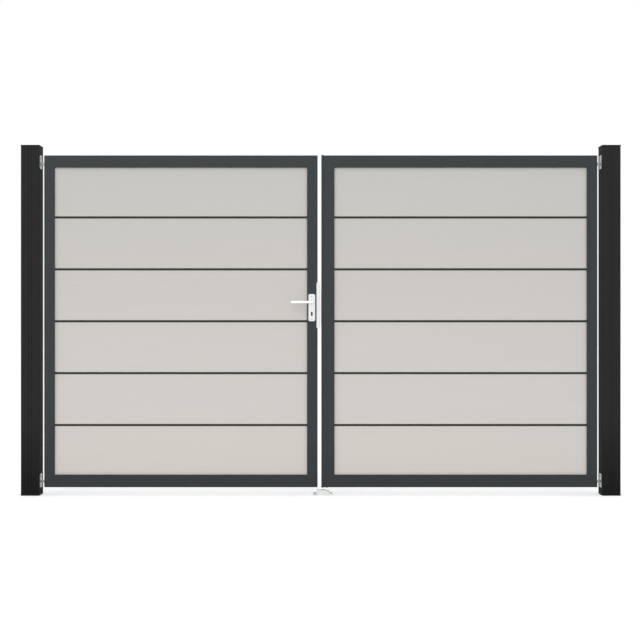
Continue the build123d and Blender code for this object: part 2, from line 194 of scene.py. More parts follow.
@dataclass(frozen=True)
class Finish(ABC):
    """A surface, named for its material and how it was made.

    Each kind of finish draws its own patterns in texture() and hands them to apply().

    Attributes:
        name: the material's name.
        colour: its sRGB hex colour.
        roughness: its roughness.
        gloss: its specular level, where 0.5 is that of bare plastic.
        tones: factors of the colour where its pattern is darkest and lightest.
        sheen_spread: how far the relief moves the roughness either way.
        relief_strength: share of the relief's height that shows in the light.
    """

    name: str
    colour: str
    roughness: float
    gloss: float = 0.5
    tones: tuple[float, float] = (0.95, 1.05)
    sheen_spread: float = 0.0
    relief_strength: float = 0.5

    def material(self) -> bpy.types.Material:
        """Makes the finish's material on first use.

        Returns:
            The material, the same one on later uses.
        """
        found = bpy.data.materials.get(self.name)
        if found is not None:
            return found
        made = bpy.data.materials.new(self.name)
        made.diffuse_color = linear(self.colour)
        made.use_nodes = True
        tree = made.node_tree
        tree.nodes.clear()
        shader = add(tree, "ShaderNodeBsdfPrincipled", {
            "Roughness": self.roughness, "Specular IOR Level": self.gloss,
        })
        add(tree, "ShaderNodeOutputMaterial", {"Surface": shader.outputs["BSDF"]})
        self.texture(tree, shader, add(tree, "ShaderNodeTexCoord").outputs["Object"])
        return made

    @abstractmethod
    def texture(
        self, tree: bpy.types.NodeTree, shader: bpy.types.Node, place: bpy.types.NodeSocket,
    ) -> None:
        """Draws the finish's patterns on its shader.

        Args:
            tree: the material's node tree.
            shader: the material's shader.
            place: object coordinates, in metres.
        """

    def tone_pair(self) -> tuple[Colour, Colour]:
        """The two linear colours that the finish mixes."""
        base = linear(self.colour)
        return shade(base, self.tones[0]), shade(base, self.tones[1])

    def apply(
        self, tree: bpy.types.NodeTree, shader: bpy.types.Node, blend: bpy.types.NodeSocket,
        relief: bpy.types.NodeSocket, relief_mm: float, dimmer: bpy.types.NodeSocket | None = None,
    ) -> None:
        """Feeds patterns to the shader's colour, roughness and normal.

        Args:
            tree: the material's node tree.
            shader: the material's shader.
            blend: mixes the finish's two colours.
            relief: heights of the surface, which also move its sheen.
            relief_mm: the relief's real height.
            dimmer: factor of the mixed colour, where it changes over a piece.
        """
        first, second = self.tone_pair()
        tone = add(tree, "ShaderNodeMix", {
            MIX_FACTOR: blend, MIX_FIRST: first, MIX_SECOND: second,
        }, data_type="RGBA").outputs[MIX_RESULT]
        if dimmer is not None:
            dimmed = add(tree, "ShaderNodeVectorMath", {0: tone, 1: dimmer}, operation="MULTIPLY")
            tone = dimmed.outputs["Vector"]
        tree.links.new(tone, shader.inputs["Base Color"])
        if self.sheen_spread > 0.0:
            sheen = add(tree, "ShaderNodeMapRange", {
                "Value": relief,
                "To Min": self.roughness - self.sheen_spread, "To Max": self.roughness + self.sheen_spread,
            })
            tree.links.new(sheen.outputs["Result"], shader.inputs["Roughness"])
        bump = add(tree, "ShaderNodeBump", {
            "Height": relief, "Strength": self.relief_strength, "Distance": relief_mm / MM_PER_METRE,
        })
        tree.links.new(bump.outputs["Normal"], shader.inputs["Normal"])


@dataclass(frozen=True)
class PowderCoat(Finish):
    """Paint baked from powder: an even satin colour over a faint orange peel, softly clouded.

    Painted shade darkens it towards the foot, down to the colour times the foot's factor.
    """

    sheen_spread: float = 0.05
    relief_strength: float = 0.6
    peel_mm: float = 3.0
    peel_height_mm: float = 0.04
    cloud_mm: float = 220.0
    painted_foot_shade: float = 1.0
    painted_shade_height_mm: float = 400.0

    def texture(
        self, tree: bpy.types.NodeTree, shader: bpy.types.Node, place: bpy.types.NodeSocket,
    ) -> None:
        """Clouds the colour, paints shade towards the foot and raises the peel.

        Args:
            tree: the material's node tree.
            shader: the material's shader.
            place: object coordinates, in metres.
        """
        cloud = add(tree, "ShaderNodeTexNoise", {
            "Vector": place, "Scale": per_metre(self.cloud_mm), "Detail": 3.0,
        })
        peel = add(tree, "ShaderNodeTexNoise", {
            "Vector": place, "Scale": per_metre(self.peel_mm), "Detail": 1.0,
        })
        painted_shade = None
        # Painted shade: the colour darkens towards the foot, up to the painted shade's height
        if self.painted_foot_shade < 1.0:
            height = add(tree, "ShaderNodeSeparateXYZ", {"Vector": place})
            painted_shade = add(tree, "ShaderNodeMapRange", {
                "Value": height.outputs["Z"],
                "From Max": self.painted_shade_height_mm / MM_PER_METRE, "To Min": self.painted_foot_shade,
            }).outputs["Result"]
        self.apply(tree, shader, cloud.outputs["Fac"], peel.outputs["Fac"], self.peel_height_mm, painted_shade)


@dataclass(frozen=True)
class CompositeBoard(Finish):
    """Wood-plastic composite, extruded and brushed: a dry matt face with fine streaks along the board.

    Painted light makes the tone a little lighter down the leaf, from the upper colour to the lower one.
    """

    painted_light_foot_colour: str = "#DDD7D2"
    lower_z: float = 0.1
    upper_z: float = 1.8
    streak_mm: float = 2.4
    streak_length_mm: float = 420.0
    streak_height_mm: float = 0.05
    streak_depth: float = 0.022
    # Noise values between which the streaks go from dark to light
    streak_range: tuple[float, float] = (0.25, 0.75)

    def tone_pair(self) -> tuple[Colour, Colour]:
        """The linear colours at the foot, lightened with painted light, and at the top of the leaf."""
        return linear(self.painted_light_foot_colour), linear(self.colour)

    def texture(
        self, tree: bpy.types.NodeTree, shader: bpy.types.Node, place: bpy.types.NodeSocket,
    ) -> None:
        """Adds the painted light down the leaf, and the streaks with their relief.

        Args:
            tree: the material's node tree.
            shader: the material's shader.
            place: object coordinates, in metres.
        """
        # Painted light: the tone grows lighter from the top of the leaf to its foot
        height = add(tree, "ShaderNodeSeparateXYZ", {"Vector": place})
        painted_light_drift = add(tree, "ShaderNodeMapRange", {
            "Value": height.outputs["Z"], "From Min": self.lower_z, "From Max": self.upper_z,
        })
        across = per_metre(self.streak_mm)
        stretched = add(tree, "ShaderNodeMapping", {
            "Vector": place, "Scale": (per_metre(self.streak_length_mm), across, across),
        })
        streak = add(tree, "ShaderNodeTexNoise", {
            "Vector": stretched.outputs["Vector"], "Scale": 1.0, "Detail": 4.0,
        }).outputs["Fac"]
        level = add(tree, "ShaderNodeMapRange", {
            "Value": streak, "From Min": self.streak_range[0], "From Max": self.streak_range[1],
            "To Min": 1.0 - self.streak_depth, "To Max": 1.0 + self.streak_depth,
        }).outputs["Result"]
        self.apply(tree, shader, painted_light_drift.outputs["Result"], streak, self.streak_height_mm, level)


@dataclass(frozen=True)
class BrushedMetal(Finish):
    """Bare metal with a fine directional grain that spreads its highlights across the grain.

    The grain's lines are drawn coarser than the real tenth of a millimetre, so that they show.
    """

    tones: tuple[float, float] = (0.94, 1.04)
    sheen_spread: float = 0.08
    relief_strength: float = 0.4
    grain: Grain = Grain.ALONG_Z
    line_mm: float = 0.7
    line_length_mm: float = 60.0
    line_height_mm: float = 0.01

    def texture(
        self, tree: bpy.types.NodeTree, shader: bpy.types.Node, place: bpy.types.NodeSocket,
    ) -> None:
        """Adds the grain to the colour, the sheen and the relief of bare metal.

        Args:
            tree: the material's node tree.
            shader: the material's shader.
            place: object coordinates, in metres.
        """
        scale = [per_metre(self.line_mm)] * 3
        scale[self.grain.value] = per_metre(self.line_length_mm)
        stretched = add(tree, "ShaderNodeMapping", {"Vector": place, "Scale": scale})
        lines = add(tree, "ShaderNodeTexNoise", {
            "Vector": stretched.outputs["Vector"], "Scale": 1.0, "Detail": 3.0,
        }).outputs["Fac"]
        shader.inputs["Metallic"].default_value = 1.0
        self.apply(tree, shader, lines, lines, self.line_height_mm)


@dataclass(frozen=True)
class CastLacquer(Finish):
    """Cast metal under pale lacquer: a matt grainy skin with slightly darker hollows.

    The grit is drawn coarser than the real half millimetre, so that it shows.
    """

    tones: tuple[float, float] = (0.9, 1.06)
    grit_mm: float = 1.6
    grit_height_mm: float = 0.12
    mottle_mm: float = 14.0

    def texture(
        self, tree: bpy.types.NodeTree, shader: bpy.types.Node, place: bpy.types.NodeSocket,
    ) -> None:
        """Adds the mottled tone and the cast grit.

        Args:
            tree: the material's node tree.
            shader: the material's shader.
            place: object coordinates, in metres.
        """
        mottle = add(tree, "ShaderNodeTexNoise", {
            "Vector": place, "Scale": per_metre(self.mottle_mm), "Detail": 4.0,
        })
        grit = add(tree, "ShaderNodeTexNoise", {
            "Vector": place, "Scale": per_metre(self.grit_mm), "Detail": 2.0,
        })
        self.apply(tree, shader, mottle.outputs["Fac"], grit.outputs["Fac"], self.grit_height_mm)


@dataclass(frozen=True)
class MouldedPlastic(Finish):
    """Moulded nylon: dark, with a spark-eroded texture that takes the shine off.

    The texture is drawn coarser than the real tenth of a millimetre, so that it shows.
    """

    tones: tuple[float, float] = (0.85, 1.15)
    grain_mm: float = 0.8
    grain_height_mm: float = 0.03

    def texture(
        self, tree: bpy.types.NodeTree, shader: bpy.types.Node, place: bpy.types.NodeSocket,
    ) -> None:
        """Adds the mould's grain to the tone and the relief.

        Args:
            tree: the material's node tree.
            shader: the material's shader.
            place: object coordinates, in metres.
        """
        grain = add(tree, "ShaderNodeTexNoise", {
            "Vector": place, "Scale": per_metre(self.grain_mm), "Detail": 2.0,
        }).outputs["Fac"]
        self.apply(tree, shader, grain, grain, self.grain_height_mm)


# Anthracite powder coat on aluminium: cool dark grey, satin, with soft highlights on the frame's edges and
# a little painted shade towards the foot.
FRAME_COAT = PowderCoat("powder_coated_aluminium_anthracite", "#363B3E", 0.45, gloss=0.2, painted_foot_shade=0.85)
# Fine-textured charcoal powder coat: neutral and nearly matt, with strong painted shade towards the foot.
# The grit is drawn coarser than its real 0.3 mm, so that it shows.
POST_COAT = PowderCoat(
    "textured_powder_coated_aluminium_charcoal", "#2D2D2E", 0.75, gloss=0.05,
    peel_mm=1.6, peel_height_mm=0.08, painted_foot_shade=0.5,
)
# Pale warm-grey composite, brushed along the board, with painted light making it lighter towards the foot.
# The streaks are drawn wider than the real half millimetre, so that they show.
BOARD_FACE = CompositeBoard("brushed_wood_plastic_composite_pale_grey", "#C9C7C2", 0.62, gloss=0.3)
# Anthracite powder coat on the thin joint strips: a shade darker than the frame, as painted shade for the
# shadow that they lie in.
PAINTED_SHADE_STRIP_COAT = PowderCoat("powder_coated_aluminium_joint_strip_painted_shade", "#2B2E31", 0.45, gloss=0.2)
# Satin stainless steel, ground along the plate: mid grey with a soft streaked sheen.
HINGE_STEEL = BrushedMetal("satin_ground_stainless_steel", "#B4B5B6", 0.36)
# Polished anodised aluminium bar: the brightest metal of the gate, almost white where it faces the light.
LEVER_METAL = BrushedMetal("polished_anodised_aluminium", "#F4F4F2", 0.24, grain=Grain.ALONG_X)
# Natural anodised aluminium, satin: pale grey with a soft upright sheen, a step darker than the lever.
PLATE_METAL = BrushedMetal("satin_anodised_aluminium", "#DEDFDF", 0.36)
# Bright anodised aluminium strip: shinier than the plates, with a fine grain along its length.
GUARD_METAL = BrushedMetal("bright_anodised_aluminium", "#DEDFE1", 0.28)
# Black moulded nylon: the dark of the keyhole and the stop bar's end caps.
BLACK_NYLON = MouldedPlastic("moulded_black_nylon", "#1B1B1C", 0.5)
# Dark powder coat on the steel drop bolt and its guides: satin, with a finer peel than the frame's.
BOLT_COAT = PowderCoat("powder_coated_steel_dark_grey", "#2D3033", 0.45, gloss=0.3, peel_mm=2.0)
# Pale lacquered casting: matt light grey with a grainy skin.
KEEPER_CAST = CastLacquer("lacquered_zinc_casting_pale_grey", "#F8F8F7", 0.55, gloss=0.3)
# Zinc-plated steel screws: bluish grey, with short lines from the lathe.
SCREW_ZINC = BrushedMetal("zinc_plated_steel_screw", "#A9ADB1", 0.34, line_mm=0.5, line_length_mm=4.0)
# Hot-dip galvanised anchors in the keeper: dull mid grey, with the zinc's small cloudy crystals.
ANCHOR_STEEL = CastLacquer(
    "hot_dip_galvanised_steel_anchor", "#CDCFD0", 0.6, gloss=0.3, grit_mm=0.8, mottle_mm=3.0,
)
# Black moulded caps on the posts: plainly darker than the painted posts, with the mould's dull skin.
CAP_NYLON = MouldedPlastic("moulded_black_nylon_post_cap", "#171718", 0.6, gloss=0.15)

SLOT_FINISH: dict[str, Finish] = {
    "post_paint": POST_COAT,
    "frame_paint": FRAME_COAT,
    "board": BOARD_FACE,
    "strip": PAINTED_SHADE_STRIP_COAT,
    "hinge_metal": HINGE_STEEL,
    "handle_metal": PLATE_METAL,
    "guard_metal": GUARD_METAL,
    "keyhole": BLACK_NYLON,
    "bolt_metal": BOLT_COAT,
    "keeper_metal": KEEPER_CAST,
}
# Nodes whose finish differs from the rest of their slot
NODE_FINISH: dict[str, Finish] = {
    "front_lever": LEVER_METAL,
    "back_lever": LEVER_METAL,
    "left_post_cap": CAP_NYLON,
    "right_post_cap": CAP_NYLON,
}


@dataclass(frozen=True)
class Ring:
    """One ring of a turned shape: its radius, its height along the axis, and whether it is a hexagon."""

    radius: float
    height: float
    hexagon: bool = False

    def radius_at(self, turn: float) -> float:
        """Measures the ring in one direction.

        Args:
            turn: angle about the axis, in radians.

        Returns:
            The distance from the axis; a hexagon's own radius is measured to its flats.
        """
        if not self.hexagon:
            return self.radius
        sector = math.pi / 3.0
        return self.radius / math.cos((turn % sector) - sector / 2.0)


@dataclass(frozen=True)
class FastenerHead:
    """Visible end of a screw or bolt, from the surface that it sits on.

    Attributes:
        radius: the head's radius, to the flats of a hexagon head.
        height: its height.
        drive: how it is turned.
        washer: radius of the washer under it, or nought for none.
        washer_height: the washer's thickness.
        edge_share: eased edges, as a share of the head's radius.
        washer_wall: upright part of the washer's rim, as a share of its thickness.
        crown_share: rise of a hexagon head's middle, as a share of the eased edge.
        socket_share: size of the socket, as a share of the head's radius.
        socket_taper: size of the socket's floor, as a share of its mouth.
        socket_depth: depth of the socket's walls, as a share of the head's height.
        point_depth: depth of the socket's middle, as a share of the head's height.
        middle_share: radius of the last ring, as a share of what it fills.
    """

    radius: float
    height: float
    drive: Drive
    washer: float = 0.0
    washer_height: float = 0.0
    edge_share: float = 0.12
    washer_wall: float = 0.7
    crown_share: float = 0.3
    socket_share: float = 0.5
    socket_taper: float = 0.96
    socket_depth: float = 0.75
    point_depth: float = 0.78
    middle_share: float = 0.1

    def rings(self) -> list[Ring]:
        """Works out the head's rings.

        Returns:
            The rings, from the rim on the surface to the middle of the top.
        """
        edge = self.radius * self.edge_share
        base = self.washer_height
        top = base + self.height
        hexagon = self.drive is Drive.HEXAGON
        outline = []
        if self.washer > 0.0:
            wall = base * self.washer_wall
            outline += [Ring(self.washer, 0.0), Ring(self.washer, wall), Ring(self.washer - edge, base)]
        outline += [
            Ring(self.radius, base, hexagon),
            Ring(self.radius, top - edge, hexagon),
            Ring(self.radius - edge, top),
        ]
        if hexagon:
            return outline + [Ring(self.radius * self.middle_share, top + edge * self.crown_share)]
        socket = self.radius * self.socket_share
        return outline + [
            Ring(socket, top, True),
            Ring(socket * self.socket_taper, top - self.height * self.socket_depth, True),
            Ring(socket * self.middle_share, top - self.height * self.point_depth),
        ]


@dataclass
class MeshDraft:
    """Corners and faces gathered for one joined mesh."""

    corners: list[Vector] = field(default_factory=list)
    faces: list[Face] = field(default_factory=list)

    def turned(self, rings: Sequence[Ring], foot: Vector, axis: Vector, closed: bool = True) -> None:
        """Adds a shape turned about an axis.

        Args:
            rings: the shape's rings, each at its height along the axis.
            foot: the point on the axis at height zero.
            axis: the axis's direction.
            closed: whether the first and last rings are filled in; otherwise they are joined to each other.
        """
        along = axis.normalized()
        across = along.orthogonal().normalized()
        third = along.cross(across)
        start = len(self.corners)
        for ring in rings:
            for step in range(ROUND_SIDES):
                turn = 2.0 * math.pi * step / ROUND_SIDES
                reach = ring.radius_at(turn)
                side = across * (reach * math.cos(turn)) + third * (reach * math.sin(turn))
                self.corners.append(foot + along * ring.height + side)
        count = len(rings)
        for level in range(count - 1 if closed else count):
            low = start + level * ROUND_SIDES
            high = start + ((level + 1) % count) * ROUND_SIDES
            for step in range(ROUND_SIDES):
                after = (step + 1) % ROUND_SIDES
                self.faces.append((low + step, low + after, high + after, high + step))
        if closed:
            last = start + (count - 1) * ROUND_SIDES
            self.faces.append(tuple(start + step for step in reversed(range(ROUND_SIDES))))
            self.faces.append(tuple(last + step for step in range(ROUND_SIDES)))

    def piece(self, name: str, body: str, finish: Finish) -> bpy.types.Object:
        """Makes the gathered faces one piece of the gate.

        Args:
            name: the piece's name.
            body: the CAD body that it moves with.
            finish: its surface.

        Returns:
            The new object.
        """
        mesh = bpy.data.meshes.new(name)
        mesh.from_pydata([tuple(corner) for corner in self.corners], [], self.faces)
        mesh.update()
        mesh.set_sharp_from_angle(angle=SHARP_ANGLE)
        return place_piece(bpy.data.objects.new(name, mesh), body, finish)


def place_piece(made: bpy.types.Object, body: str, finish: Finish) -> bpy.types.Object:
    """Links a new piece, gives it its finish and sets it riding on its body.

    Args:
        made: the new object, already in place.
        body: the CAD body that it moves with.
        finish: its surface.

    Returns:
        The same object.
    """
    bpy.context.scene.collection.objects.link(made)
    made.data.materials.append(finish.material())
    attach(made, body)
    LOG.info("%s rides on %s, %d faces", made.name, body, len(made.data.polygons))
    return made


def rounded_outline(
    width: float, height: float, corner: float, middle: tuple[float, float] = (0.0, 0.0),
) -> Outline:
    """A rectangle with round corners.

    Args:
        width: size along the first axis.
        height: size along the second axis.
        corner: the corners' radius.
        middle: the rectangle's centre.

    Returns:
        Its points, in order.
    """
    points = []
    for quarter, (side, level) in enumerate(((1, 1), (-1, 1), (-1, -1), (1, -1))):
        centre = (middle[0] + side * (width / 2 - corner), middle[1] + level * (height / 2 - corner))
        for step in range(CORNER_STEPS + 1):
            turn = math.pi / 2 * (quarter + step / CORNER_STEPS)
            points.append((centre[0] + corner * math.cos(turn), centre[1] + corner * math.sin(turn)))
    return points


def sheet_piece(
    name: str, outlines: Sequence[Outline], thickness: float, lift: Lift,
    body: str, finish: Finish,
) -> bpy.types.Object:
    """A flat plate cut from one outline, with holes.

    Args:
        name: the piece's name.
        outlines: the plate's outline, then those of its holes.
        thickness: the plate's thickness.
        lift: turns a point of the outline and a height above the back face to a point of the gate.
        body: the CAD body that it moves with.
        finish: its surface.

    Returns:
        The new object.
    """
    curve = bpy.data.curves.new(name + "_outline", "CURVE")
    curve.dimensions = "2D"
    curve.fill_mode = "BOTH"
    curve.extrude = thickness / 2
    for outline in outlines:
        spline = curve.splines.new("POLY")
        spline.points.add(len(outline) - 1)
        for point, (across, along) in zip(spline.points, outline):
            point.co = (across, along, 0.0, 1.0)
        spline.use_cyclic_u = True
    holder = bpy.data.objects.new(name + "_outline", curve)
    bpy.context.scene.collection.objects.link(holder)
    mesh = bpy.data.meshes.new_from_object(holder.evaluated_get(bpy.context.evaluated_depsgraph_get()))
    bpy.data.objects.remove(holder)
    bpy.data.curves.remove(curve)
    mesh.name = name
    for corner in mesh.vertices:
        corner.co = lift(corner.co.x, corner.co.y, corner.co.z + thickness / 2)
    closed = bmesh.new()
    closed.from_mesh(mesh)
    bmesh.ops.remove_doubles(closed, verts=closed.verts, dist=SAME_CORNER)
    bmesh.ops.recalc_face_normals(closed, faces=closed.faces)
    closed.to_mesh(mesh)
    closed.free()
    return place_piece(bpy.data.objects.new(name, mesh), body, finish)


@dataclass
class FastenerSet:
    """Like fasteners on one body, joined in one piece."""

    name: str
    body: str
    slot: str
    head: FastenerHead
    axis: Point
    finish: Finish = SCREW_ZINC

    def build(self, places: Iterable[Point]) -> bpy.types.Object:
        """Makes a head at each place, standing along the set's axis.

        Args:
            places: the middle of each head, on the surface that it sits on.

        Returns:
            The joined piece.
        """
        draft = MeshDraft()
        for place in places:
            draft.turned(self.head.rings(), Vector(place), Vector(self.axis))
        return draft.piece(self.name, self.body, self.finish)


@dataclass
class CadFinishes:
    """Dresses the carried-over CAD nodes, each by its material slot, and eases their edges."""

    nodes: dict[str, bpy.types.Object]
    slots: dict[str, str]
    edge: float = 0.0005
    edge_steps: int = 2
    flat_angle: float = math.radians(0.5)

    def dress(self) -> None:
        """Gives every node its finish, and a small round on its sharp edges."""
        for name, node in sorted(self.nodes.items()):
            finish = NODE_FINISH.get(name, SLOT_FINISH[self.slots[name]])
            node.data.materials.clear()
            node.data.materials.append(finish.material())
            self.ease(node)
            LOG.info("%s is finished as %s", name, finish.name)

    def ease(self, node: bpy.types.Object) -> None:
        """Joins a node's split corners, rounds its sharp edges and keeps its flat faces flat in the light.

        Args:
            node: the CAD node's object.
        """
        weld = node.modifiers.new("joined_corners", "WELD")
        weld.merge_threshold = SAME_CORNER
        whole = node.modifiers.new("whole_faces", "DECIMATE")
        whole.decimate_type = "DISSOLVE"
        whole.angle_limit = self.flat_angle
        bevel = node.modifiers.new("eased_edge", "BEVEL")
        bevel.width = self.edge
        bevel.segments = self.edge_steps
        bevel.use_clamp_overlap = False
        bevel.limit_method = "ANGLE"
        bevel.angle_limit = SHARP_ANGLE
        node.modifiers.new("flat_faces", "WEIGHTED_NORMAL")


@dataclass
class HingeScrews:
    """Countersunk screws of one side's hinges, on the post's plates and on the leaf's."""

    side: Side
    plate: float = 0.003
    post_plate_height: float = 0.073
    leaf_plate_height: float = 0.067
    post_columns: tuple[float, float] = (0.010, 0.034)
    leaf_columns: tuple[float, float] = (0.009, 0.022)
    row: float = 0.0235
    head: FastenerHead = FastenerHead(radius=0.0046, height=0.0009, drive=Drive.SOCKET)

    def build(self) -> None:
        """Makes the screws of both halves."""
        self.build_post_half()
        self.build_leaf_half()

    def levels(self, box: Box, plate_height: float) -> list[float]:
        """Works out the screw rows on the lower and upper plates of one half.

        Args:
            box: the lowest and highest corners of that half's node.
            plate_height: height of one plate.

        Returns:
            The rows' heights.
        """
        middles = (box[0].z + plate_height / 2, box[1].z - plate_height / 2)
        return [middle + step for middle in middles for step in (-self.row, self.row)]

    def build_post_half(self) -> None:
        """Makes the screws on the post's plates, which face the leaf."""
        label, inward = self.side.label, self.side.inward
        low, high = box = as_box(f"{label}_post_hinges")
        face_x = (low.x if inward > 0 else high.x) + inward * self.plate
        rows = self.levels(box, self.post_plate_height)
        screws = FastenerSet(
            f"{label}_post_hinge_screws", "posts", "hinge_metal", self.head, axis=(inward, 0.0, 0.0),
        )
        screws.build([(face_x, low.y + column, row) for column in self.post_columns for row in rows])

    def build_leaf_half(self) -> None:
        """Makes the screws on the leaf's plates, which face backwards."""
        label, inward = self.side.label, self.side.inward
        low, high = box = as_box(f"{label}_leaf_hinges")
        far_x = high.x if inward > 0 else low.x
        face_y = low.y + self.plate
        rows = self.levels(box, self.leaf_plate_height)
        screws = FastenerSet(
            f"{label}_leaf_hinge_screws", f"{label}_leaf", "hinge_metal", self.head, axis=(0.0, 1.0, 0.0),
        )
        columns = [far_x - inward * column for column in self.leaf_columns]
        screws.build([(column, face_y, row) for column in columns for row in rows])


@dataclass
class LockFurniture:
    """Screws, collars and key plugs of the handle plates, and screws of the latch guard."""

    body: str = "left_leaf"
    spindle_below_top: float = 0.044
    screw_inset: float = 0.013
    collar_play: float = 0.0003
    collar_width: float = 0.0034
    collar_height: float = 0.0022
    collar_edge: float = 0.00066
    plug_width: float = 0.0072
    plug_height: float = 0.0205
    # A little under half the plug's width, so that its ends keep a small flat
    plug_corner: float = 0.003528
    plug_thickness: float = 0.0008
    key_slot_width: float = 0.0016
    key_slot_height: float = 0.0078
    key_slot_corner: float = 0.00048
    guard_thickness: float = 0.003
    guard_screw_inset: float = 0.022
    plate_screw: FastenerHead = FastenerHead(radius=0.0036, height=0.0007, drive=Drive.SOCKET)
    guard_screw: FastenerHead = FastenerHead(radius=0.004, height=0.0007, drive=Drive.SOCKET)

    def build(self) -> None:
        """Makes the furniture of both faces, then the guard's screws."""
        for face, outward in (("front", -1.0), ("back", 1.0)):
            self.build_face(face, outward)
            self.build_plug(face, outward)
        self.build_guard()

    def build_face(self, face: str, outward: float) -> None:
        """Makes the screws and the lever's collar of one handle plate.

        Args:
            face: the plate's face of the leaf, front or back.
            outward: sign of Y out of that face.
        """
        low, high = as_box(f"{face}_handle_plate")
        face_y = low.y if outward < 0 else high.y
        middle_x = (low.x + high.x) / 2
        axis = (0.0, outward, 0.0)
        ends = (low.z + self.screw_inset, high.z - self.screw_inset)
        screws = FastenerSet(f"{face}_plate_screws", self.body, "handle_metal", self.plate_screw, axis)
        screws.build([(middle_x, face_y, level) for level in ends])
        lever_low, lever_high = as_box(f"{face}_lever")
        inner = (lever_high.z - lever_low.z) / 2 + self.collar_play
        outer = inner + self.collar_width
        rings = [
            Ring(inner, 0.0),
            Ring(outer, 0.0),
            Ring(outer, self.collar_height - self.collar_edge),
            Ring(outer - self.collar_edge, self.collar_height),
            Ring(inner, self.collar_height),
        ]
        spindle = Vector((middle_x, face_y, high.z - self.spindle_below_top))
        collar = MeshDraft()
        collar.turned(rings, spindle, Vector(axis), closed=False)
        collar.piece(f"{face}_lever_collar", self.body, PLATE_METAL)

    def build_plug(self, face: str, outward: float) -> None:
        """Makes the key plug's face, with its key slot, in one plate's keyhole.

        Args:
            face: the plate's face of the leaf, front or back.
            outward: sign of Y out of that face.
        """
        low, high = as_box("lock_inserts")
        seat_y = low.y if outward < 0 else high.y
        middle_x = (low.x + high.x) / 2
        middle_z = (low.z + high.z) / 2
        plug = rounded_outline(self.plug_width, self.plug_height, self.plug_corner)
        key_slot = rounded_outline(self.key_slot_width, self.key_slot_height, self.key_slot_corner)
        sheet_piece(
            f"{face}_key_plug", [plug, key_slot], self.plug_thickness,
            lambda across, along, rise: (middle_x + across, seat_y + outward * rise, middle_z + along),
            self.body, BLACK_NYLON,
        )

    def build_guard(self) -> None:
        """Makes the screws in the latch guard's return."""
        low, high = as_box("latch_guard")
        edge_x = as_box("left_meeting_stile")[1].x + self.guard_thickness
        middle_y = (low.y + self.guard_thickness + high.y) / 2
        ends = (low.z + self.guard_screw_inset, high.z - self.guard_screw_inset)
        screws = FastenerSet(
            "latch_guard_screws", self.body, "guard_metal", self.guard_screw, axis=(1.0, 0.0, 0.0),
        )
        screws.build([(edge_x, middle_y, level) for level in ends])


@dataclass
class MeetingEdge:
    """Strike plate on the stop bar, and the bar's end caps."""

    body: str = "right_leaf"
    plate_depth: float = 0.024
    plate_height: float = 0.170
    plate_corner: float = 0.004
    plate_thickness: float = 0.0008
    latch_window: tuple[float, float] = (0.014, 0.030)
    bolt_window: tuple[float, float] = (0.014, 0.036)
    bolt_window_drop: float = 0.0635
    window_corner: float = 0.001
    cap_thickness: float = 0.002
    cap_corner: float = 0.0015

    def build(self) -> None:
        """Makes the strike plate and both caps."""
        low, high = as_box("stop_bar")
        latch_low, latch_high = as_box("latch_bolt")
        latch_z = (latch_low.z + latch_high.z) / 2
        middle = (low + high) / 2
        plate_middle = (0.0, -self.bolt_window_drop / 2)
        bolt_middle = (0.0, -self.bolt_window_drop)
        outlines = [
            rounded_outline(self.plate_depth, self.plate_height, self.plate_corner, plate_middle),
            rounded_outline(*self.latch_window, self.window_corner),
            rounded_outline(*self.bolt_window, self.window_corner, bolt_middle),
        ]
        sheet_piece(
            "strike_plate", outlines, self.plate_thickness,
            lambda across, along, rise: (low.x - rise, middle.y + across, latch_z + along),
            self.body, GUARD_METAL,
        )
        for name, level, outward in (("top", high.z, 1.0), ("bottom", low.z, -1.0)):
            self.build_cap(name, Vector((middle.x, middle.y, level)), outward, high - low)

    def build_cap(self, name: str, middle: Vector, outward: float, size: Vector) -> None:
        """Makes one end cap of the hollow bar.

        Args:
            name: which end it closes.
            middle: centre of the bar's end.
            outward: sign of Z out of that end.
            size: the bar's size.
        """
        sheet_piece(
            f"stop_bar_{name}_cap", [rounded_outline(size.x, size.y, self.cap_corner)], self.cap_thickness,
            lambda across, along, rise: (middle.x + across, middle.y + along, middle.z + outward * rise),
            self.body, BLACK_NYLON,
        )


@dataclass
class BoltGuideScrews:
    """Screws of the drop bolt's guide plates."""

    body: str = "right_leaf"
    plate_thickness: float = 0.003
    plate_height: float = 0.056
    side_inset: float = 0.0032
    end_inset: float = 0.007
    head: FastenerHead = FastenerHead(radius=0.0027, height=0.0016, drive=Drive.SOCKET)

    def build(self) -> None:
        """Makes the screws at the corners of each guide's plate, clear of the bolt in front of it."""
        low, high = as_box("bolt_guides")
        face_y = low.y + self.plate_thickness
        columns = (low.x + self.side_inset, high.x - self.side_inset)
        step = self.plate_height / 2 - self.end_inset
        levels = (low.z + self.plate_height / 2, high.z - self.plate_height / 2)
        rows = [level + offset for level in levels for offset in (-step, step)]
        screws = FastenerSet("bolt_guide_screws", self.body, "bolt_metal", self.head, axis=(0.0, 1.0, 0.0))
        screws.build([(column, face_y, row) for column in columns for row in rows])


@dataclass
class KeeperAnchors:
    """Hexagon anchors in the floor keeper's two fixing holes."""

    mount: dict[str, Any]
    base: float = 0.006
    head: FastenerHead = FastenerHead(
        radius=0.006, height=0.0045, drive=Drive.HEXAGON, washer=0.0072, washer_height=0.001,
    )

    def build(self) -> None:
        """Makes both anchors, standing on the keeper's base."""
        x, y, _ = self.mount["pos_m"]
        half = self.mount["dims"]["spacing_x_mm"] / 2 / MM_PER_METRE
        anchors = FastenerSet(
            "keeper_anchors", "posts", "keeper_metal", self.head, axis=(0.0, 0.0, 1.0), finish=ANCHOR_STEEL,
        )
        anchors.build([(x - half, y, self.base), (x + half, y, self.base)])


